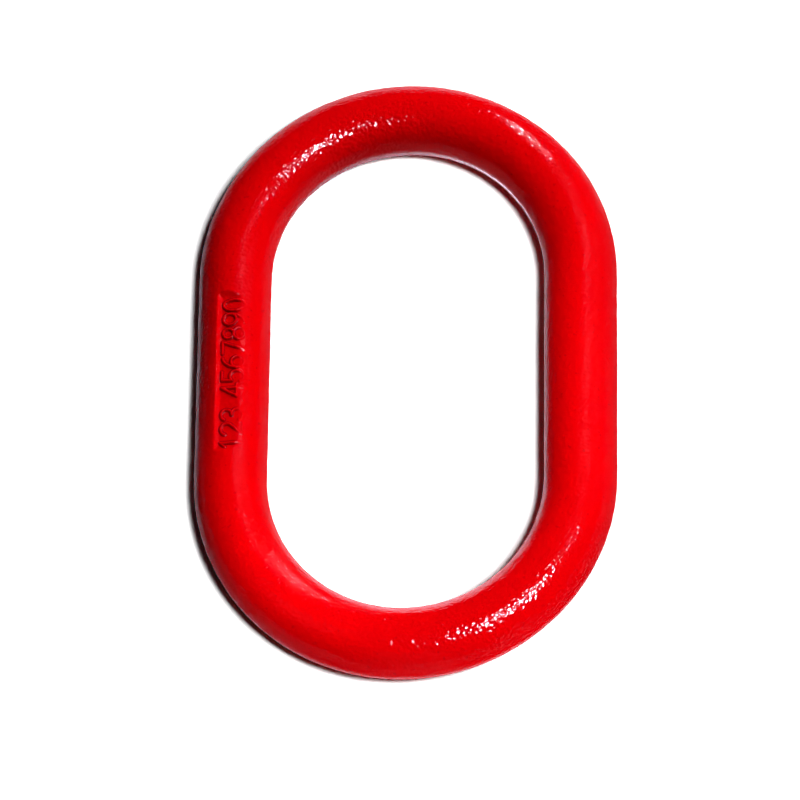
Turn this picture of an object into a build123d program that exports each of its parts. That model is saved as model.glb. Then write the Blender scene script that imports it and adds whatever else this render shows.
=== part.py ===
from build123d import *
import math
import os

# A drop-forged master link: one oblong ring of round bar, lying flat on its side.
# X runs across the ring, Y along it and Z up. The origin is on the surface that
# the link lies on, under the middle of the ring. All sizes are in millimetres.

# Clear space inside the ring, between the lands
INSIDE_WIDTH = 90.0
INSIDE_LENGTH = 160.0

# Round bar that the ring is forged from, measured over the crest and the underside
BAR_DIAMETER = 23.0

# Land left on the parting line, inside and outside, where the flash was trimmed off.
# Drafted flanks run from its edges until they touch the round of the bar.
LAND_PROUD = 0.35
LAND_HEIGHT = 1.6

# Shallow recess for raised characters, along the crest of the leg at -X. Its flat floor
# leans out of the ring. It has a drafted wall at its outer side and at each end, and it
# runs out into the round of the bar on its inner side. The foot of the outer wall is
# given by its distance from the crest's line and its depth below the crest.
FIELD_LENGTH = 52.0
FIELD_WIDTH = 9.0
FIELD_FOOT = 3.1
FIELD_DEPTH = 1.65
FIELD_SHIFT = -1.0
FIELD_LEAN_ANGLE = 10.0
FIELD_DRAFT_ANGLE = 57.0

# Worked out from the sizes above
BAR_RADIUS = BAR_DIAMETER / 2
CROWN_RADIUS = INSIDE_WIDTH / 2 + LAND_PROUD + BAR_RADIUS
LEG_LENGTH = INSIDE_LENGTH - INSIDE_WIDTH


def middle_line() -> Wire:
    """Oblong line through the middle of the bar: two straight legs and two round crowns."""
    right = CROWN_RADIUS
    top = LEG_LENGTH / 2
    legs_and_crowns = [
        Line((right, -top), (right, top)),
        CenterArc((0, top), CROWN_RADIUS, 0, 180),
        Line((-right, top), (-right, -top)),
        CenterArc((0, -top), CROWN_RADIUS, 180, 180),
    ]
    return Pos(0, 0, BAR_RADIUS) * Wire(legs_and_crowns)


def land_profile(side: int) -> Face:
    """One land with its drafted flanks; side is 1 outside the ring, -1 inside it."""
    face_out = BAR_RADIUS + LAND_PROUD
    half_face = LAND_HEIGHT / 2
    edge_out = math.hypot(face_out, half_face)
    edge_angle = math.atan2(half_face, face_out)
    touch_angle = edge_angle + math.acos(BAR_RADIUS / edge_out)
    touch_out = BAR_RADIUS * math.cos(touch_angle)
    touch_up = BAR_RADIUS * math.sin(touch_angle)
    corners = [
        (side * touch_out, -touch_up),
        (side * face_out, -half_face),
        (side * face_out, half_face),
        (side * touch_out, touch_up),
    ]
    return make_face(Polyline(*corners, close=True))


def bar_section() -> Sketch:
    """Section across the bar, with its local X pointing out of the ring and its local Y up."""
    return Circle(BAR_RADIUS) + land_profile(1) + land_profile(-1)


def forged_ring() -> Part:
    """The whole ring, swept in one piece round its middle line."""
    path = middle_line()
    start = Plane(origin=path @ 0, x_dir=(1, 0, 0), z_dir=path % 0)
    return sweep(start * bar_section(), path=path)


def character_field() -> Part:
    """What is cut from the leg: a pocket with drafted walls round a flat, leaning floor."""
    lean = math.radians(FIELD_LEAN_ANGLE)
    spread = FIELD_DEPTH * math.tan(math.radians(FIELD_DRAFT_ANGLE))
    foot = Vector(-CROWN_RADIUS - FIELD_FOOT, FIELD_SHIFT, BAR_DIAMETER - FIELD_DEPTH)
    across_floor = Vector(math.cos(lean), 0, math.sin(lean))
    off_floor = Vector(-math.sin(lean), 0, math.cos(lean))
    middle = foot + across_floor * (FIELD_WIDTH / 2) + off_floor * FIELD_DEPTH
    mouth_plane = Plane(origin=middle, x_dir=across_floor, z_dir=off_floor)
    mouth = Rectangle(FIELD_WIDTH + 2 * spread, FIELD_LENGTH + 2 * spread)
    return extrude(mouth_plane * mouth, -FIELD_DEPTH, taper=FIELD_DRAFT_ANGLE)


def build_link() -> Part:
    """The finished link."""
    return forged_ring() - character_field()


os.makedirs("parts", exist_ok=True)
export_step(build_link(), "parts/link.step")
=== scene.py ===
"""Looks of a drop-forged master link, painted gloss red and lying on a white studio floor."""

import logging
import math
from dataclasses import dataclass
from dataclasses import field
from enum import Enum
from typing import Any

import bpy
import numpy as np
from mathutils import Matrix
from mathutils import Vector
from mathutils import noise


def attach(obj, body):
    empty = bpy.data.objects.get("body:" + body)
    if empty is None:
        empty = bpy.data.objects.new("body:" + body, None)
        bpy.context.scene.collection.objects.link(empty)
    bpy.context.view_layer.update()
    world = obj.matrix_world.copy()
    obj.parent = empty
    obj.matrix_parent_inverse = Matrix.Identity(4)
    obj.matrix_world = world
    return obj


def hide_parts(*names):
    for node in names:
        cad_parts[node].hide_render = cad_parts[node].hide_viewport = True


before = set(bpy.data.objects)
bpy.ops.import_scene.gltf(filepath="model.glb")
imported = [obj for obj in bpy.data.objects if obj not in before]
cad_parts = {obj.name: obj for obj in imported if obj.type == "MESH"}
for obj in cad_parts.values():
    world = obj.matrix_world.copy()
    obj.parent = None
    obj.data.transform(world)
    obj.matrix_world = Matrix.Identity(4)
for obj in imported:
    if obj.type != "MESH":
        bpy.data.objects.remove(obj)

MM = 0.001
BODY = "root"
NODE = "link"
STROKE_POINTS = 14

Colour = tuple[float, float, float, float]

log = logging.getLogger("master_link")


# Shader building

class Signal:
    """A number that a node puts out. Arithmetic on it adds Math nodes."""

    def __init__(self, bench: "NodeBench", socket: bpy.types.NodeSocket) -> None:
        """Wraps one output socket.

        Args:
            bench: the node bench that new Math nodes are added to.
            socket: the output socket that carries the number.
        """
        self.bench = bench
        self.socket = socket

    def _math(self, operation: str, first: Any, second: Any) -> "Signal":
        """Adds one Math node.

        Args:
            operation: the Math node's operation.
            first: a Signal or a plain number.
            second: a Signal or a plain number.

        Returns:
            The node's result.
        """
        made = self.bench.add("ShaderNodeMath", {"operation": operation}, {0: first, 1: second})
        return Signal(self.bench, made.outputs[0])

    def __add__(self, other: Any) -> "Signal":
        """Sum."""
        return self._math("ADD", self, other)

    def __radd__(self, other: Any) -> "Signal":
        """Sum, with the plain number on the left."""
        return self._math("ADD", other, self)

    def __sub__(self, other: Any) -> "Signal":
        """Difference."""
        return self._math("SUBTRACT", self, other)

    def __rsub__(self, other: Any) -> "Signal":
        """Difference, with the plain number on the left."""
        return self._math("SUBTRACT", other, self)

    def __mul__(self, other: Any) -> "Signal":
        """Product."""
        return self._math("MULTIPLY", self, other)

    def __rmul__(self, other: Any) -> "Signal":
        """Product, with the plain number on the left."""
        return self._math("MULTIPLY", other, self)

    def at_most(self, limit: Any) -> "Signal":
        """The smaller of this number and a limit."""
        return self._math("MINIMUM", self, limit)

    def at_least(self, limit: Any) -> "Signal":
        """The larger of this number and a limit."""
        return self._math("MAXIMUM", self, limit)


class NodeBench:
    """The node tree of a material or of the world, with one method that adds any node."""

    def __init__(self, owner: bpy.types.Material | bpy.types.World) -> None:
        """Empties the owner's node tree.

        Args:
            owner: the material or the world that the nodes are for.
        """
        owner.use_nodes = True
        self.tree = owner.node_tree
        self.tree.nodes.clear()

    def add(self, kind: str, settings: dict[str, Any], inputs: dict[Any, Any]) -> bpy.types.Node:
        """Adds a node, sets it up and fills its sockets.

        Args:
            kind: the node's type, such as ShaderNodeMath.
            settings: the node's own settings; "stops" is a colour ramp's places and grey levels.
            inputs: for each socket's name or number, a plain value, a Signal or an output socket.

        Returns:
            The new node.
        """
        node = self.tree.nodes.new(kind)
        for name, value in settings.items():
            if name == "stops":
                self._set_stops(node.color_ramp, value)
            else:
                setattr(node, name, value)
        for key, value in inputs.items():
            socket = node.inputs[key]
            if isinstance(value, Signal):
                self.tree.links.new(value.socket, socket)
            elif isinstance(value, bpy.types.NodeSocket):
                self.tree.links.new(value, socket)
            else:
                socket.default_value = value
        return node

    @staticmethod
    def _set_stops(ramp: bpy.types.ColorRamp, stops: tuple[tuple[float, float], ...]) -> None:
        """Fills a colour ramp with grey stops.

        Args:
            ramp: the ramp.
            stops: places along the ramp, each with its grey level.
        """
        while len(ramp.elements) < len(stops):
            ramp.elements.new(1.0)
        for element, (place, level) in zip(ramp.elements, stops):
            element.position = place
            element.color = (level, level, level, 1.0)

    def signal(self, kind: str, settings: dict[str, Any], inputs: dict[Any, Any],
               output: Any = 0) -> Signal:
        """Adds a node and wraps one of its outputs as a number.

        Args:
            kind: the node's type.
            settings: the node's own settings.
            inputs: values or links of its sockets.
            output: the output's name or number.

        Returns:
            That output.
        """
        return Signal(self, self.add(kind, settings, inputs).outputs[output])

    def noise(self, place: bpy.types.NodeSocket, grain: float, layers: float = 0.0) -> Signal:
        """Smooth noise between 0 and 1.

        Args:
            place: the coordinates that it is read at, in metres.
            grain: size of one lump, in metres.
            layers: number of finer layers in it.

        Returns:
            The noise.
        """
        inputs = {"Vector": place, "Scale": 1.0 / grain, "Detail": layers}
        return self.signal("ShaderNodeTexNoise", {}, inputs, "Fac")

    def attribute(self, name: str) -> Signal:
        """A number that the mesh holds for each of its points.

        Args:
            name: the attribute's name.

        Returns:
            Its value.
        """
        return self.signal("ShaderNodeAttribute", {"attribute_name": name}, {}, "Fac")

    def blend(self, share: Any, first: Any, second: Any) -> bpy.types.NodeSocket:
        """Mixes two colours.

        Args:
            share: how much of the second, as a Signal or a number.
            first: a colour or a colour socket.
            second: a colour or a colour socket.

        Returns:
            The mixed colour's socket.
        """
        settings = {"data_type": "RGBA", "clamp_result": False}
        made = self.add("ShaderNodeMix", settings, {0: share, 6: first, 7: second})
        return made.outputs[2]

    def finish(self, surface: bpy.types.NodeSocket, kind: str = "ShaderNodeOutputMaterial") -> None:
        """Links the surface to the tree's output.

        Args:
            surface: the shader's socket.
            kind: the output node's type.
        """
        self.add(kind, {}, {"Surface": surface})


def rgba(red: float, green: float, blue: float) -> Colour:
    """An opaque colour, in linear light."""
    return (red, green, blue, 1.0)


@dataclass(frozen=True)
class GlossRedPaint:
    """Thick gloss enamel sprayed over shot-blasted forged steel.

    A grain is the size of one lump in the coat, and a height is how far such lumps stand up.
    """

    colour: Colour = rgba(0.86, 0.0, 0.001)
    thin_colour: Colour = rgba(0.76, 0.0, 0.002)
    pit_colour: Colour = rgba(0.50, 0.0, 0.002)
    # Painted shade: darker paint round the digits' feet in the recess.
    foot_shade_colour: Colour = rgba(0.22, 0.0, 0.002)
    gloss_colour: Colour = rgba(1.0, 0.84, 1.0)
    pit_share: float = 0.5
    foot_shade_share: float = 0.75
    smooth: float = 0.06
    dull: float = 0.10
    refraction: float = 1.5
    most_gloss: float = 0.22
    least_gloss: float = 0.006
    peel_grain: float = 1.15 * MM
    peel_height: float = 0.22 * MM
    blast_grain: float = 0.6 * MM
    blast_height: float = 0.045 * MM
    cloud_grain: float = 9.0 * MM
    cloud_layers: float = 3.0
    pit_grain: float = 1.6 * MM
    pit_layers: float = 1.0
    pit_stops: tuple[tuple[float, float], ...] = ((0.0, 1.0), (0.25, 0.8), (0.31, 0.0), (1.0, 0.0))

    def build(self) -> bpy.types.Material:
        """Makes the material.

        Returns:
            The paint, read at the object's own coordinates.
        """
        material = bpy.data.materials.new("gloss_enamel")
        bench = NodeBench(material)
        place = bench.add("ShaderNodeTexCoord", {}, {}).outputs["Object"]
        clouds = bench.noise(place, self.cloud_grain, self.cloud_layers)
        peel = bench.noise(place, self.peel_grain)
        blast = bench.noise(place, self.blast_grain)
        pits = bench.noise(place, self.pit_grain, self.pit_layers)
        pitted = bench.signal("ShaderNodeValToRGB", {"stops": self.pit_stops}, {"Fac": pits}, "Color")

        # Painted shade round the digits' feet, read from a mark on the mesh.
        foot_shade = bench.attribute("foot_shade") * self.foot_shade_share
        coat = bench.blend(clouds, self.thin_colour, self.colour)
        coat = bench.blend(pitted * self.pit_share, coat, self.pit_colour)
        colour = bench.blend(foot_shade, coat, self.foot_shade_colour)
        roughness = self.smooth + (self.dull - self.smooth) * clouds
        height = peel * self.peel_height + blast * self.blast_height
        bump = bench.add("ShaderNodeBump", {}, {"Strength": 1.0, "Distance": 1.0, "Height": height})
        normal = bump.outputs["Normal"]
        enamel = bench.add("ShaderNodeBsdfPrincipled", {}, {
            "Base Color": colour,
            "Roughness": roughness,
            "Specular IOR Level": 0.0,
            "Normal": normal,
        })
        gloss = bench.add("ShaderNodeBsdfAnisotropic", {"distribution": "GGX"}, {
            "Color": self.gloss_colour,
            "Roughness": roughness,
            "Normal": normal,
        })
        inputs = {"IOR": self.refraction, "Normal": normal}
        mirrored = bench.signal("ShaderNodeFresnel", {}, inputs)
        # Painted reflection: marks on the mesh cut and scale the mirrored share side by side, to fit how
        # the lamps fall.
        mirrored = (mirrored - bench.attribute("rim_gloss_cut")).at_least(0.0)
        share = mirrored.at_most(self.most_gloss) * bench.attribute("rim_gloss_share") + self.least_gloss
        surface = bench.add("ShaderNodeMixShader", {}, {
            0: share,
            1: enamel.outputs["BSDF"],
            2: gloss.outputs["BSDF"],
        })
        bench.finish(surface.outputs["Shader"])
        return material


@dataclass(frozen=True)
class WhiteTable:
    """White studio surface, over-exposed where the light falls on it and dark in the shadow."""

    seen_level: float = 1.2
    mirrored_level: float = 1.03
    lighting_level: float = 0.05

    def build(self) -> bpy.types.Material:
        """Makes the material.

        Returns:
            A matt white that the camera and reflections see over-exposed.
        """
        material = bpy.data.materials.new("white_table")
        bench = NodeBench(material)
        rays = bench.add("ShaderNodeLightPath", {}, {})
        mirrored = Signal(bench, rays.outputs["Is Glossy Ray"])
        mirrored = mirrored.at_least(Signal(bench, rays.outputs["Is Transmission Ray"]))
        levels = (
            (mirrored, self.mirrored_level),
            (Signal(bench, rays.outputs["Is Camera Ray"]), self.seen_level),
        )
        colour = {"Color": rgba(*[self.lighting_level] * 3)}
        surface = bench.add("ShaderNodeBsdfDiffuse", {}, colour).outputs[0]
        for ray, level in levels:
            matt = bench.add("ShaderNodeBsdfDiffuse", {}, {"Color": rgba(*[level] * 3)})
            inputs = {0: ray, 1: surface, 2: matt.outputs[0]}
            surface = bench.add("ShaderNodeMixShader", {}, inputs).outputs[0]
        bench.finish(surface)
        return material


# Form of the link

@dataclass(frozen=True)
class BarSection:
    """Round bar with a narrow land on the parting line, where the flash was trimmed off.

    Drafted flanks run from the land's edges until they touch the round of the bar.
    """

    radius: float = 11.5 * MM
    land_proud: float = 0.35 * MM
    land_height: float = 1.6 * MM
    edge_shares: tuple[float, ...] = (0.0, 0.55, 0.85, 1.0, 1.2, 1.6, 2.3)
    least_step: float = 0.6

    @property
    def face_out(self) -> float:
        """Distance of the land's face from the bar's middle."""
        return self.radius + self.land_proud

    @property
    def edge_angle(self) -> float:
        """Angle above the parting line of the land's edge."""
        return math.atan2(self.land_height / 2, self.face_out)

    @property
    def touch_angle(self) -> float:
        """Angle above the parting line where the land's flank touches the round of the bar."""
        edge_out = math.hypot(self.face_out, self.land_height / 2)
        return self.edge_angle + math.acos(self.radius / edge_out)

    def angles(self, count: int) -> np.ndarray:
        """Angles of the mesh's columns round the bar, closer together along the land's edges.

        The columns near the parting line lie at shares of the land's edge angle. The even ones
        begin where they leave at least a set share of a step clear.

        Args:
            count: how many even columns a whole turn would have.

        Returns:
            Angles in radians, from the outer parting line over the crest and back.
        """
        edge = math.degrees(self.edge_angle)
        near = [share * edge for share in self.edge_shares]
        step = 360.0 / count
        first = math.ceil(near[-1] / step + self.least_step) * step
        rest = list(np.arange(first, 90.0 + step / 2, step))
        quarter = np.array(near + rest)
        upper = np.concatenate([quarter, 180.0 - quarter[-2::-1]])
        whole = np.concatenate([upper, 360.0 - upper[-2:0:-1]])
        return np.radians(whole)

    def reach(self, angles: np.ndarray) -> np.ndarray:
        """Distance of the surface from the bar's middle.

        Args:
            angles: angles round the bar, from the parting line.

        Returns:
            The distance for each angle.
        """
        above = np.abs(np.arcsin(np.sin(angles)))
        face = self.face_out / np.cos(np.minimum(above, self.edge_angle))
        flank = self.radius / np.cos(above - self.touch_angle)
        land = np.where(above < self.edge_angle, face, flank)
        return np.where(above < self.touch_angle, land, self.radius)


@dataclass(frozen=True)
class Oblong:
    """Middle line of the bar: two straight legs and two half-round crowns."""

    crown_radius: float
    leg_length: float

    @property
    def crown_length(self) -> float:
        """Length of the middle line round one crown."""
        return math.pi * self.crown_radius

    def stations(self, step: float) -> np.ndarray:
        """Even stations along the middle line, with one at each end of a leg.

        Args:
            step: distance between stations, about.

        Returns:
            Distances along the line from the lower end of the leg at +X.
        """
        legs = round(self.leg_length / step)
        crowns = round(self.crown_length / step)
        leg = np.arange(legs) * (self.leg_length / legs)
        crown = self.leg_length + np.arange(crowns) * (self.crown_length / crowns)
        half = np.concatenate([leg, crown])
        return np.concatenate([half, half + self.leg_length + self.crown_length])

    def locate(self, along: np.ndarray) -> tuple[np.ndarray, np.ndarray]:
        """Points of the middle line.

        Args:
            along: distances along the line.

        Returns:
            The points and the directions out of the ring there, both as rows of x and y.
        """
        half = self.leg_length + self.crown_length
        turned = np.floor(along / half)
        rest = along - turned * half
        sweep = np.maximum(rest - self.leg_length, 0.0) / self.crown_radius
        out = np.stack([np.cos(sweep), np.sin(sweep)], axis=-1)
        start = np.minimum(rest, self.leg_length) - self.leg_length / 2
        points = out * self.crown_radius
        points[:, 1] += start
        side = np.where(turned % 2 == 0, 1.0, -1.0)[:, None]
        return points * side, out * side


class Digit(Enum):
    """Plain digits, each drawn with round and straight strokes in a box one unit high."""

    NOUGHT = "0"
    ONE = "1"
    TWO = "2"
    THREE = "3"
    FOUR = "4"
    FIVE = "5"
    SIX = "6"
    SEVEN = "7"
    EIGHT = "8"
    NINE = "9"

    @staticmethod
    def arc(middle: tuple[float, float], radii: tuple[float, float],
            start: float, stop: float) -> np.ndarray:
        """Points along a round stroke.

        Args:
            middle: the middle of its ellipse.
            radii: the ellipse's half width and half height.
            start: angle of its first point, in degrees.
            stop: angle of its last point, in degrees.

        Returns:
            The points, one a row.
        """
        turn = np.radians(np.linspace(start, stop, STROKE_POINTS))
        across = middle[0] + radii[0] * np.cos(turn)
        up = middle[1] + radii[1] * np.sin(turn)
        return np.stack([across, up], axis=-1)

    def strokes(self) -> list[np.ndarray]:
        """The digit's strokes.

        Returns:
            A line of points for each stroke.
        """
        arc = Digit.arc
        drawn = {
            Digit.NOUGHT: [arc((0.28, 0.5), (0.27, 0.5), 0, 360)],
            Digit.ONE: [[(0.10, 0.78), (0.32, 1.0), (0.32, 0.0)]],
            Digit.TWO: [[*arc((0.28, 0.72), (0.27, 0.28), 165, -38), (0.02, 0.0), (0.56, 0.0)]],
            Digit.THREE: [
                arc((0.27, 0.75), (0.25, 0.25), 155, -90),
                arc((0.27, 0.26), (0.28, 0.26), 90, -155),
            ],
            Digit.FOUR: [[(0.42, 0.0), (0.42, 1.0), (0.0, 0.3), (0.58, 0.3)]],
            Digit.FIVE: [
                [(0.50, 1.0), (0.10, 1.0), (0.07, 0.56)],
                arc((0.27, 0.32), (0.28, 0.32), 135, -150),
            ],
            Digit.SIX: [
                arc((0.28, 0.3), (0.27, 0.3), 0, 360),
                arc((0.56, 0.32), (0.55, 0.68), 100, 180),
            ],
            Digit.SEVEN: [[(0.0, 1.0), (0.56, 1.0), (0.18, 0.0)]],
            Digit.EIGHT: [
                arc((0.28, 0.75), (0.23, 0.25), 0, 360),
                arc((0.28, 0.26), (0.28, 0.26), 0, 360),
            ],
            Digit.NINE: [
                arc((0.28, 0.7), (0.27, 0.3), 0, 360),
                arc((0.0, 0.68), (0.55, 0.68), -80, 0),
            ],
        }
        return [np.array(stroke) for stroke in drawn[self]]


@dataclass(frozen=True)
class DigitRow:
    """Row of raised digits that reads up the leg, with the digits' tops towards -X."""

    text: str = "123 4567890"
    height: float = 7.2 * MM
    pitch: float = 5.0 * MM
    gap: float = 3.4 * MM
    baseline: float = 4.6 * MM
    start: float = -27.4 * MM
    stroke_top: float = 0.20 * MM
    stroke_foot: float = 0.55 * MM
    proud: float = 0.78 * MM
    least_rise: float = 0.2 * MM
    foot_shade_reach: float = 0.35 * MM
    foot_shade_gain: float = 1.5

    def strokes(self) -> list[np.ndarray]:
        """Strokes of the whole row.

        Returns:
            A line of points for each stroke, as rows of the distance across and along the leg.
        """
        found = []
        along = self.start
        for letter in self.text:
            if letter == " ":
                along += self.gap
                continue
            for stroke in Digit(letter).strokes():
                across = self.baseline - stroke[:, 1] * self.height
                found.append(np.stack([across, along + stroke[:, 0] * self.height], axis=-1))
            along += self.pitch
        return found

    def relief(self, across: np.ndarray, along: np.ndarray,
               sunk: np.ndarray) -> tuple[np.ndarray, np.ndarray]:
        """How far the digits stand up from what they stand on.

        Args:
            across: distance of each point across the leg from its middle.
            along: distance of each point along the leg from the field's middle.
            sunk: how deep each point lies under the round of the bar.

        Returns:
            Height at each point, between 0 and the full height, and the painted shade round its foot.
        """
        nearest = np.full(across.shape, np.inf)
        points = np.stack([across, along], axis=-1)
        for stroke in self.strokes():
            for first, second in zip(stroke[:-1], stroke[1:]):
                run = second - first
                share = ((points - first) @ run) / (run @ run)
                foot = first + np.clip(share, 0.0, 1.0)[:, None] * run
                nearest = np.minimum(nearest, np.linalg.norm(points - foot, axis=-1))
        slope = (self.stroke_foot - nearest) / (self.stroke_foot - self.stroke_top)
        slope = np.clip(slope, 0.0, 1.0)
        room = np.minimum(self.proud, np.maximum(sunk, 0.0) + self.least_rise)
        # Painted shade: a darker band round each digit's foot, only where the recess is sunk.
        off_foot = np.abs(nearest - self.stroke_foot) / self.foot_shade_reach
        foot_shade = np.clip(self.foot_shade_gain * (1.0 - off_foot), 0.0, 1.0)
        foot_shade *= np.clip(sunk / self.proud, 0.0, 1.0)
        return room * slope * slope * (3.0 - 2.0 * slope), foot_shade


def soft_least(first: np.ndarray, second: np.ndarray, blend: float) -> np.ndarray:
    """The smaller of two heights, with a rounded corner where they cross.

    Args:
        first: one height for each point.
        second: the other height for each point.
        blend: how far from the crossing the rounding begins.

    Returns:
        The smaller height, rounded.
    """
    near = np.maximum(blend - np.abs(first - second), 0.0) / blend
    return np.minimum(first, second) - near * near * blend / 4


@dataclass(frozen=True)
class CharacterField:
    """Shallow recess along the crest of the leg at -X, with raised digits on its flat floor.

    The floor leans out of the ring. It has a drafted wall at its outer side and at each end,
    and runs out into the round of the bar on its inner side.
    """

    bar: BarSection
    middle: tuple[float, float]
    length: float = 52.0 * MM
    foot: float = 3.1 * MM
    depth: float = 1.65 * MM
    lean_angle: float = 10.0
    draft_angle: float = 57.0
    corner: float = 0.25 * MM
    sunk_depth: float = 0.5 * MM
    half_room: tuple[float, float] = (6.3 * MM, 29.6 * MM)
    digits: DigitRow = field(default_factory=DigitRow)

    def sink(self, points: np.ndarray) -> tuple[np.ndarray, np.ndarray, np.ndarray]:
        """Lowers the points that lie over the recess on to its walls, floor and digits.

        Args:
            points: rows of x, y and z on the plain bar.

        Returns:
            New heights, whether each point lies in the recess and the painted shade round the digits'
            feet, both from 0 to 1.
        """
        across = points[:, 0] - self.middle[0]
        along = points[:, 1] - self.middle[1]
        wide, long = self.half_room
        level = points[:, 2].copy()
        near = (np.abs(across) < wide) & (np.abs(along) < long) & (level > self.bar.radius)
        across, along, plain = across[near], along[near], level[near]
        lean, draft = math.radians(self.lean_angle), math.radians(self.draft_angle)
        foot_level = 2 * self.bar.radius - self.depth
        floor = foot_level + (across + self.foot) * math.tan(lean)
        outer_wall = foot_level - (across + self.foot) / math.tan(draft + lean)
        end_rise = (np.abs(along) - self.length / 2) / (math.tan(draft) * math.cos(lean))
        walls = -soft_least(-outer_wall, -floor - end_rise, self.corner)
        pocket = -soft_least(-walls, -floor, self.corner)
        ground = soft_least(plain, pocket, self.corner)
        rise, digit_foot_shade = self.digits.relief(across, along, plain - ground)
        level[near] = ground + rise
        sunk, foot_shade = np.zeros(len(points)), np.zeros(len(points))
        sunk[near] = np.clip((plain - ground) / self.sunk_depth, 0.0, 1.0)
        foot_shade[near] = digit_foot_shade
        return level, sunk, foot_shade


@dataclass(frozen=True)
class ForgingLumps:
    """Unevenness of the forged and shot-blasted skin under the paint."""

    wave_grain: float = 13.0 * MM
    wave_height: float = 0.06 * MM
    lump_grain: float = 3.2 * MM
    lump_height: float = 0.075 * MM
    fine_grain: float = 1.7 * MM
    fine_height: float = 0.028 * MM
    layer_shift: tuple[float, float, float] = (7.3, 2.9, 5.1)

    def heights(self, points: np.ndarray) -> np.ndarray:
        """How far each point is pushed out.

        Args:
            points: rows of x, y and z.

        Returns:
            Distances, about even on both sides of zero.
        """
        layers = (
            (self.wave_grain, self.wave_height),
            (self.lump_grain, self.lump_height),
            (self.fine_grain, self.fine_height),
        )
        total = np.zeros(len(points))
        for number, (grain, height) in enumerate(layers):
            shift = Vector(self.layer_shift) * number
            scaled = points / grain
            total += height * np.array([noise.noise(Vector(p) + shift) for p in scaled])
        return total


@dataclass(frozen=True)
class Side:
    """One side of the link, as a direction in degrees, and how narrow a range counts as it."""

    turn: float
    narrow: int

    def faced(self, facing: np.ndarray) -> np.ndarray:
        """How closely each point faces this side.

        Args:
            facing: rows of the flat direction that each point faces.

        Returns:
            1 where a point faces the side, down to 0 at a right angle and behind.
        """
        turn = math.radians(self.turn)
        toward = np.array([math.cos(turn), math.sin(turn)])
        return np.maximum(facing @ toward, 0.0) ** self.narrow


@dataclass(frozen=True)
class RimGloss:
    """How strongly the enamel mirrors the table near the link's rims, side by side.

    The share is painted reflection, set side by side to fit how the lamps fall: the side that the main
    lamps face shows next to nothing of it. The faces of the lands mirror more than the round of the
    bar does, and most of all at the inside of the upper right, where a painted bright streak is added.
    """

    lit: Side = Side(turn=0.0, narrow=4)
    lit_loss: float = 0.9
    bright: Side = Side(turn=112.0, narrow=2)
    dim_loss: float = 0.055
    shaded: Side = Side(turn=180.0, narrow=4)
    shaded_loss: float = 0.11
    lower: Side = Side(turn=45.0, narrow=6)
    lower_loss: float = 0.07
    streak: Side = Side(turn=225.0, narrow=6)
    streak_gain: float = 2.4
    outer_loss: float = 0.03
    outer_share: float = 0.6
    crest_lean: float = 0.3
    land_fade: float = 6.0

    def marks(self, lean: np.ndarray, out: np.ndarray, above: np.ndarray) -> np.ndarray:
        """Gloss marks of each point.

        Args:
            lean: how far each point faces out of the ring, from -1 to 1.
            out: rows of the direction out of the ring.
            above: each point's angle from the nearer edge of a land, in degrees.

        Returns:
            Rows of the painted reflection's share that shows and of the share that is cut.
        """
        inner = 0.5 - 0.5 * np.clip(lean / self.crest_lean, -1.0, 1.0)
        land = np.clip(1.0 - above / self.land_fade, 0.0, 1.0)
        facing = out * np.sign(lean)[:, None]
        rim_gloss_share = 1.0 - self.lit_loss * self.lit.faced(facing)
        rim_gloss_share *= self.outer_share + (1.0 - self.outer_share) * inner
        rim_gloss_share *= 1.0 + self.streak_gain * self.streak.faced(facing) * inner * land
        lost = self.dim_loss * (1.0 - self.bright.faced(facing))
        lost += self.shaded_loss * self.shaded.faced(facing)
        lost += self.lower_loss * self.lower.faced(facing)
        lost += self.outer_loss * (1.0 - inner)
        return np.column_stack([rim_gloss_share, lost * (1.0 - land)])


@dataclass(frozen=True)
class FineBlock:
    """Block of the coarse mesh, from one row and column to another, with its cells divided."""

    first_row: int
    last_row: int
    first_column: int
    last_column: int
    finer: int

    @property
    def row_total(self) -> int:
        """Number of fine rows of points."""
        return (self.last_row - self.first_row) * self.finer + 1

    @property
    def column_total(self) -> int:
        """Number of fine columns of points."""
        return (self.last_column - self.first_column) * self.finer + 1

    def holds_cell(self, row: int, column: int) -> bool:
        """Whether the coarse cell that begins at a row and column lies in the block."""
        in_rows = self.first_row <= row < self.last_row
        return in_rows and self.first_column <= column < self.last_column

    def fine_place(self, corner: tuple[int, int]) -> tuple[int, int]:
        """Fine row and column of a coarse corner, given as its row and column."""
        return (corner[0] - self.first_row) * self.finer, (corner[1] - self.first_column) * self.finer

    def divide(self, values: np.ndarray, first: int, total: int) -> np.ndarray:
        """Fine values between coarse ones.

        Args:
            values: one value for each coarse row or column.
            first: number of the row or column where the block begins.
            total: how many fine values there are.

        Returns:
            The fine values.
        """
        return np.interp(np.arange(total) / self.finer + first, np.arange(len(values)), values)


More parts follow.
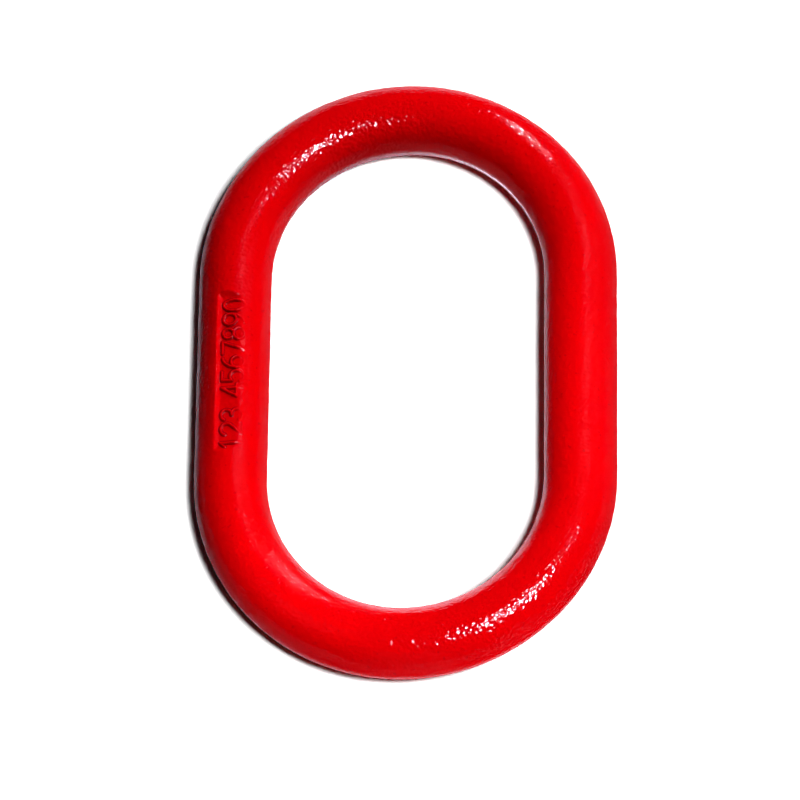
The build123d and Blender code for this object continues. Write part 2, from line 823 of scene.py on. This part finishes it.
@dataclass
class ForgedLink:
    """The whole link as one closed mesh, finer where the digits are."""

    inside_width: float = 90.0 * MM
    inside_length: float = 160.0 * MM
    bar: BarSection = field(default_factory=BarSection)
    lumps: ForgingLumps = field(default_factory=ForgingLumps)
    field_shift: float = -1.0 * MM
    column_count: int = 96
    row_step: float = 0.90 * MM
    finer: int = 5
    field_calm: float = 0.5
    gloss: RimGloss = field(default_factory=RimGloss)

    def __post_init__(self) -> None:
        """Works out the middle line and the character field's place."""
        crown_radius = self.inside_width / 2 + self.bar.face_out
        self.path = Oblong(crown_radius, self.inside_length - self.inside_width)
        self.recess = CharacterField(self.bar, (-crown_radius, self.field_shift))
        self.columns = self.bar.angles(self.column_count)
        self.rows = self.path.stations(self.row_step)

    def fine_block(self) -> FineBlock:
        """The block of mesh cells that holds the character field.

        Returns:
            The block.
        """
        wide, long = self.recess.half_room
        lean = math.asin(wide / self.bar.radius)
        half_turn = self.path.leg_length + self.path.crown_length
        middle = half_turn + self.path.leg_length / 2 - self.field_shift
        columns = np.nonzero(np.abs(self.columns - math.pi / 2) <= lean)[0]
        rows = np.nonzero(np.abs(self.rows - middle) <= long)[0]
        return FineBlock(rows[0] - 1, rows[-1] + 1, columns[0] - 1, columns[-1] + 1, self.finer)

    def surface(self, angles: np.ndarray, along: np.ndarray) -> tuple[np.ndarray, np.ndarray]:
        """Points on the finished skin.

        Args:
            angles: angle round the bar for each point.
            along: distance along the middle line for each point.

        Returns:
            Rows of x, y and z, and each point's gloss marks and painted shade round the digits.
        """
        middle, out = self.path.locate(along)
        lean = np.stack([np.cos(angles), np.sin(angles)], axis=-1)
        reach = self.bar.reach(angles)
        flat = middle + out * (reach * lean[:, 0])[:, None]
        points = np.column_stack([flat, self.bar.radius + reach * lean[:, 1]])
        points[:, 2], sunk, foot_shade = self.recess.sink(points)
        outward = np.column_stack([out * lean[:, :1], lean[:, 1]])
        calm = 1.0 - self.field_calm * sunk
        points += outward * (self.lumps.heights(points) * calm)[:, None]
        points[:, 2] = np.maximum(points[:, 2], 0.0)
        above = np.degrees(np.abs(np.arcsin(np.sin(angles))) - self.bar.edge_angle)
        return points, np.column_stack([self.gloss.marks(lean[:, 0], out, above), foot_shade])

    def build(self) -> bpy.types.Object:
        """Makes the mesh object.

        Returns:
            The link, still without a finish.
        """
        block = self.fine_block()
        names, fine = self._number(block)
        points, marks = self.surface(*self._spread(block, names, fine))
        mesh = bpy.data.meshes.new("forged_link")
        mesh.from_pydata(points.tolist(), [], self._faces(block, names, fine))
        mesh.update()
        mesh.shade_smooth()
        return self._place(mesh, marks)

    def _number(self, block: FineBlock) -> tuple[np.ndarray, np.ndarray]:
        """Numbers the mesh's points, with the coarse ones first.

        Args:
            block: the part of the mesh that is finer.

        Returns:
            Number of the point at each coarse row and column, and at each fine one.
        """
        names = np.zeros((len(self.rows), len(self.columns)), int)
        inner = np.zeros(names.shape, bool)
        inner[block.first_row:block.last_row + 1, block.first_column:block.last_column + 1] = True
        base = np.count_nonzero(~inner)
        names[~inner] = np.arange(base)
        fine = base + np.arange(block.row_total * block.column_total)
        fine = fine.reshape(block.row_total, block.column_total)
        names[inner] = fine[::block.finer, ::block.finer].ravel()
        return names, fine

    def _spread(self, block: FineBlock, names: np.ndarray,
                fine: np.ndarray) -> tuple[np.ndarray, np.ndarray]:
        """Places the mesh's points on the bar, in the order of their numbers.

        Args:
            block: the part of the mesh that is finer.
            names: number of the point at each coarse corner.
            fine: numbers of the fine points.

        Returns:
            Angle round the bar and distance along the middle line for each point.
        """
        coarse_rows, coarse_columns = np.nonzero(names < fine[0, 0])
        fine_along = block.divide(self.rows, block.first_row, block.row_total)
        fine_angles = block.divide(self.columns, block.first_column, block.column_total)
        grid_along, grid_angles = np.meshgrid(fine_along, fine_angles, indexing="ij")
        angles = np.concatenate([self.columns[coarse_columns], grid_angles.ravel()])
        along = np.concatenate([self.rows[coarse_rows], grid_along.ravel()])
        return angles, along

    def _faces(self, block: FineBlock, names: np.ndarray, fine: np.ndarray) -> list[list[int]]:
        """Joins the mesh's points into faces.

        Args:
            block: the part of the mesh that is finer.
            names: number of the point at each coarse corner.
            fine: numbers of the fine points.

        Returns:
            Numbers of the points round each face.
        """
        faces = []
        row_total, column_total = names.shape
        for row in range(row_total):
            next_row = (row + 1) % row_total
            for column in range(column_total):
                if block.holds_cell(row, column):
                    continue
                next_column = (column + 1) % column_total
                ring = [(row, column), (next_row, column), (next_row, next_column), (row, next_column)]
                faces.append(self._outline(ring, block, names, fine))
        for row in range(block.row_total - 1):
            for column in range(block.column_total - 1):
                faces.append([fine[row, column], fine[row + 1, column],
                              fine[row + 1, column + 1], fine[row, column + 1]])
        return [[int(point) for point in face] for face in faces]

    @staticmethod
    def _outline(ring: list[tuple[int, int]], block: FineBlock, names: np.ndarray,
                 fine: np.ndarray) -> list[int]:
        """Points round one coarse cell, with the fine ones along a side that it shares.

        Args:
            ring: the cell's four corners as row and column.
            block: the part of the mesh that is finer.
            names: number of the point at each coarse corner.
            fine: numbers of the fine points.

        Returns:
            Numbers of the points round the cell.
        """
        found = []
        for corner, other in zip(ring, ring[1:] + ring[:1]):
            found.append(names[corner])
            if min(names[corner], names[other]) < fine[0, 0]:
                continue
            here, there = block.fine_place(corner), block.fine_place(other)
            for step in range(1, block.finer):
                row = here[0] + (there[0] - here[0]) * step // block.finer
                column = here[1] + (there[1] - here[1]) * step // block.finer
                found.append(fine[row, column])
        return found

    def _place(self, mesh: bpy.types.Mesh, marks: np.ndarray) -> bpy.types.Object:
        """Puts the mesh in the scene.

        Args:
            mesh: the finished mesh.
            marks: rows of each point's share of the painted rim reflection, its cut, and the painted shade
                round the digits.

        Returns:
            The object.
        """
        for name, values in zip(("rim_gloss_share", "rim_gloss_cut", "foot_shade"), marks.T):
            kept = mesh.attributes.new(name, "FLOAT", "POINT")
            kept.data.foreach_set("value", values.astype(np.float32))
        made = bpy.data.objects.new("forged_link", mesh)
        bpy.context.scene.collection.objects.link(made)
        return made

    def dress(self, made: bpy.types.Object, paint: GlossRedPaint) -> None:
        """Paints the link and hands it to the frame in place of its plain node.

        Args:
            made: the link's mesh object.
            paint: its finish.
        """
        made.data.materials.append(paint.build())
        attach(made, BODY)
        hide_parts(NODE)
        triangles = sum(len(face.vertices) - 2 for face in made.data.polygons)
        log.info("%s: %d points, %d triangles", made.name, len(made.data.vertices), triangles)


# Studio

class Lit(Enum):
    """What a lamp lights."""

    LINK = "link"
    TABLE = "table"


@dataclass(frozen=True)
class Softbox:
    """One square lamp that faces the link and stays out of the picture."""

    name: str
    azimuth: float
    height: float
    distance: float
    size: float

    @property
    def energy(self) -> float:
        """Power of the lamp, which each kind of lamp states in its own way."""
        raise NotImplementedError

    def build(self, things: dict[Lit, bpy.types.Object]) -> bpy.types.Object:
        """Makes the lamp.

        Args:
            things: not used; the object that stands for each thing that a lamp can light.

        Returns:
            The lamp.
        """
        turn, lift = math.radians(self.azimuth), math.radians(self.height)
        away = Vector((math.cos(turn) * math.cos(lift), math.sin(turn) * math.cos(lift),
                       math.sin(lift)))
        light = bpy.data.lights.new(self.name, "AREA")
        light.shape = "SQUARE"
        light.size = self.size
        light.energy = self.energy
        made = bpy.data.objects.new(self.name, light)
        made.location = away * self.distance
        made.rotation_mode = "QUATERNION"
        made.rotation_quaternion = away.to_track_quat("Z", "Y")
        made.visible_camera = False
        bpy.context.scene.collection.objects.link(made)
        return made


@dataclass(frozen=True)
class SoftLight(Softbox):
    """Lamp that lights the link or the table alone, and shows in no reflection.

    The table has a lamp of its own, so that the link's shadow on it stays dark and narrow.
    """

    level: float
    lit: Lit = Lit.LINK

    @property
    def energy(self) -> float:
        """Power with which a white surface square to the lamp shows the lamp's level."""
        return self.level * (math.pi * self.distance) ** 2

    def build(self, things: dict[Lit, bpy.types.Object]) -> bpy.types.Object:
        """Makes the lamp.

        Args:
            things: the object that stands for each thing that a lamp can light.

        Returns:
            The lamp.
        """
        made = super().build(things)
        made.visible_glossy = False
        lit = bpy.data.collections.new(self.name)
        lit.objects.link(things[self.lit])
        made.light_linking.receiver_collection = lit
        return made


@dataclass(frozen=True)
class Gleam(Softbox):
    """Bright panel that shows only as a reflection on the gloss."""

    brightness: float

    @property
    def energy(self) -> float:
        """Power with which the panel itself has its brightness."""
        return self.brightness * math.pi * self.size ** 2

    def build(self, things: dict[Lit, bpy.types.Object]) -> bpy.types.Object:
        """Makes the panel.

        Args:
            things: not used; the object that stands for each thing that a lamp can light.

        Returns:
            The lamp.
        """
        made = super().build(things)
        made.visible_diffuse = False
        return made


@dataclass(frozen=True)
class StudioCamera:
    """Long lens that looks down on the link, placed by how the link lies in the picture."""

    aim: tuple[float, float, float] = (-2.04 * MM, -7.97 * MM, 11.5 * MM)
    tilt: float = 22.01
    turn: float = 11.01
    roll: float = 0.78
    distance: float = 1.7597
    pixels_per_mm: float = 3.07
    picture_width: float = 800.0
    sensor_width: float = 36.0
    sight: float = 20.0

    def build(self) -> bpy.types.Object:
        """Makes the camera and gives it to the scene.

        Returns:
            The camera.
        """
        tilt, turn = math.radians(self.tilt), math.radians(self.turn)
        back = Vector((math.sin(tilt) * math.sin(turn), -math.sin(tilt) * math.cos(turn),
                       math.cos(tilt)))
        right = Vector((0.0, 1.0, 0.0)).cross(back).normalized()
        up = back.cross(right)
        stand = Matrix((right, up, back)).transposed()
        stand = stand @ Matrix.Rotation(math.radians(self.roll), 3, "Z")
        lens = bpy.data.cameras.new("studio_camera")
        lens.sensor_width = self.sensor_width
        picture_mm = self.picture_width / self.pixels_per_mm
        lens.lens = self.sensor_width * (self.distance / MM) / picture_mm
        lens.clip_end = self.sight
        place = Matrix.Translation(Vector(self.aim) + back * self.distance)
        made = bpy.data.objects.new("studio_camera", lens)
        made.matrix_world = place @ stand.to_4x4()
        bpy.context.scene.collection.objects.link(made)
        bpy.context.scene.camera = made
        return made


@dataclass
class Studio:
    """White table, soft lamps, dim room with a white backdrop, and the camera."""

    table_rings: tuple[float, ...] = (0.25, 0.6, 0.9)
    spokes: int = 96
    room_level: float = 0.003
    backdrop_level: float = 1.0
    camera: StudioCamera = field(default_factory=StudioCamera)
    table_finish: WhiteTable = field(default_factory=WhiteTable)
    lamps: tuple[Softbox, ...] = (
        SoftLight("table_lamp", azimuth=-43.0, height=68.0, distance=3.0, size=0.50, level=1.4,
                  lit=Lit.TABLE),
        SoftLight("side_lamp", azimuth=60.0, height=52.0, distance=2.0, size=0.6, level=0.62),
        SoftLight("right_lamp", azimuth=30.0, height=32.0, distance=2.0, size=0.6, level=0.44),
        SoftLight("top_lamp", azimuth=0.0, height=60.0, distance=0.13, size=0.04, level=0.165),
        SoftLight("near_lamp", azimuth=-30.0, height=35.0, distance=0.13, size=0.04, level=0.055),
        SoftLight("low_lamp", azimuth=-60.0, height=5.0, distance=0.17, size=0.03, level=0.13),
        SoftLight("front_lamp", azimuth=-90.0, height=15.0, distance=0.17, size=0.06, level=0.11),
        SoftLight("left_lamp", azimuth=-120.0, height=35.0, distance=0.13, size=0.04, level=0.125),
        Gleam("top_gleam", azimuth=-33.0, height=66.0, distance=2.1, size=0.38, brightness=520.0),
        Gleam("side_gleam", azimuth=68.4, height=24.7, distance=0.275, size=0.010, brightness=2600.0),
        Gleam("leg_gleam", azimuth=45.0, height=57.0, distance=2.0, size=0.20, brightness=30.0),
    )

    def build_table(self) -> bpy.types.Object:
        """Makes the table as one round sheet.

        Returns:
            The table.
        """
        points = [(0.0, 0.0, 0.0)]
        for out in self.table_rings:
            for turn in np.linspace(0.0, 2 * math.pi, self.spokes, endpoint=False):
                points.append((out * math.cos(turn), out * math.sin(turn), 0.0))
        faces = []
        for spoke in range(self.spokes):
            after = (spoke + 1) % self.spokes
            faces.append((0, 1 + spoke, 1 + after))
            for ring in range(len(self.table_rings) - 1):
                inner, outer = 1 + ring * self.spokes, 1 + (ring + 1) * self.spokes
                faces.append((inner + spoke, outer + spoke, outer + after, inner + after))
        mesh = bpy.data.meshes.new("white_table")
        mesh.from_pydata(points, [], faces)
        mesh.shade_smooth()
        mesh.materials.append(self.table_finish.build())
        made = bpy.data.objects.new("white_table", mesh)
        bpy.context.scene.collection.objects.link(made)
        return made

    def light_room(self) -> None:
        """Gives the room an even, dim light and, for the camera alone, a white backdrop."""
        world = bpy.data.worlds.new("room")
        bpy.context.scene.world = world
        bench = NodeBench(world)
        rays = bench.add("ShaderNodeLightPath", {}, {})
        level = bench.signal("ShaderNodeMapRange", {}, {
            "Value": rays.outputs["Is Camera Ray"],
            "To Min": self.room_level,
            "To Max": self.backdrop_level,
        })
        backdrop = bench.add("ShaderNodeBackground", {}, {"Color": rgba(1.0, 1.0, 1.0), "Strength": level})
        bench.finish(backdrop.outputs["Background"], "ShaderNodeOutputWorld")

    def build(self, link: bpy.types.Object) -> None:
        """Makes the table, the lamps, the room's light and the camera.

        Args:
            link: the link's mesh object.
        """
        things = {Lit.LINK: link, Lit.TABLE: self.build_table()}
        for lamp in self.lamps:
            lamp.build(things)
        self.light_room()
        self.camera.build()
        bpy.context.scene.view_settings.view_transform = "Standard"
        log.info("studio: %d lamps", len(self.lamps))


def main() -> None:
    """Builds the link and the studio round it."""
    logging.basicConfig(level=logging.INFO, format="%(name)s: %(message)s")
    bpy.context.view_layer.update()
    link = ForgedLink()
    made = link.build()
    link.dress(made, GlossRedPaint())
    Studio().build(made)


if __name__ == "__main__":
    main()
